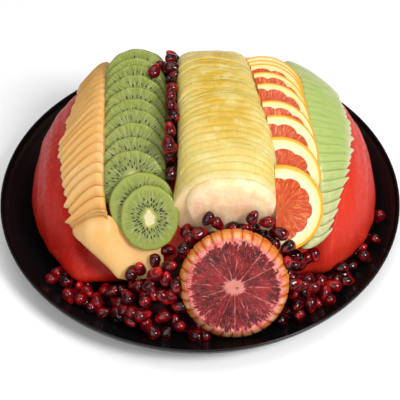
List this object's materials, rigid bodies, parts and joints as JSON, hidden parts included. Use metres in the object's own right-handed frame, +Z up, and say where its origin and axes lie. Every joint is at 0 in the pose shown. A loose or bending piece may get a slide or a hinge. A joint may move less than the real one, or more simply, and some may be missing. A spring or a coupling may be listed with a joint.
{
  "type": "sliced fruit platter",
  "caption": "Round black tray with a peeled watermelon dome under fanned slices of cantaloupe, kiwi, pineapple, orange and honeydew, with pomegranate seeds and a blood orange slice in front.",
  "frame": {"origin": "the middle of the tray's underside, on the surface the tray stands on", "axes": "+Z up; -Y to the front, where the blood orange slice leans and the rows end; +X to the right as seen from the front, the honeydew's side"},
  "size_m": [0.305, 0.305, 0.1158],
  "materials": {
    "tray_black": "glossy black",
    "watermelon_flesh": "moist red melon flesh",
    "cantaloupe_flesh": "moist pale orange melon flesh",
    "honeydew_flesh": "moist pale green melon flesh",
    "kiwi_flesh": "moist green flesh with dark seeds",
    "orange_flesh": "moist orange segments with pale pith and a thin yellow-orange rind",
    "pineapple_flesh": "moist fibrous yellow flesh",
    "blood_orange_flesh": "moist dark red segments in an orange rind",
    "pomegranate_red": "glossy translucent dark red"
  },
  "bodies": {
    "root": {"tray": "tray_black", "watermelon_dome": "watermelon_flesh", "cantaloupe_fan": "cantaloupe_flesh", "cantaloupe_front_slice": "cantaloupe_flesh", "honeydew_fan": "honeydew_flesh", "kiwi_01": "kiwi_flesh", "kiwi_02": "kiwi_flesh", "kiwi_03": "kiwi_flesh", "kiwi_04": "kiwi_flesh", "kiwi_05": "kiwi_flesh", "kiwi_06": "kiwi_flesh", "kiwi_07": "kiwi_flesh", "kiwi_08": "kiwi_flesh", "kiwi_09": "kiwi_flesh", "kiwi_10": "kiwi_flesh", "kiwi_11": "kiwi_flesh", "kiwi_12": "kiwi_flesh", "kiwi_13": "kiwi_flesh", "kiwi_14": "kiwi_flesh", "kiwi_15": "kiwi_flesh", "kiwi_16": "kiwi_flesh", "kiwi_17": "kiwi_flesh", "orange_01": "orange_flesh", "orange_02": "orange_flesh", "orange_03": "orange_flesh", "orange_04": "orange_flesh", "orange_05": "orange_flesh", "orange_06": "orange_flesh", "orange_07": "orange_flesh", "orange_08": "orange_flesh", "orange_09": "orange_flesh", "orange_10": "orange_flesh", "orange_11": "orange_flesh", "orange_12": "orange_flesh", "pineapple_fan": "pineapple_flesh", "blood_orange_slice": "blood_orange_flesh", "aril_1": "pomegranate_red", "aril_2": "pomegranate_red", "aril_3": "pomegranate_red", "aril_4": "pomegranate_red", "aril_5": "pomegranate_red", "aril_6": "pomegranate_red", "aril_7": "pomegranate_red", "aril_8": "pomegranate_red", "pomegranate_line": "pomegranate_red", "pomegranate_heap": "pomegranate_red"}
  },
  "joints": []
}
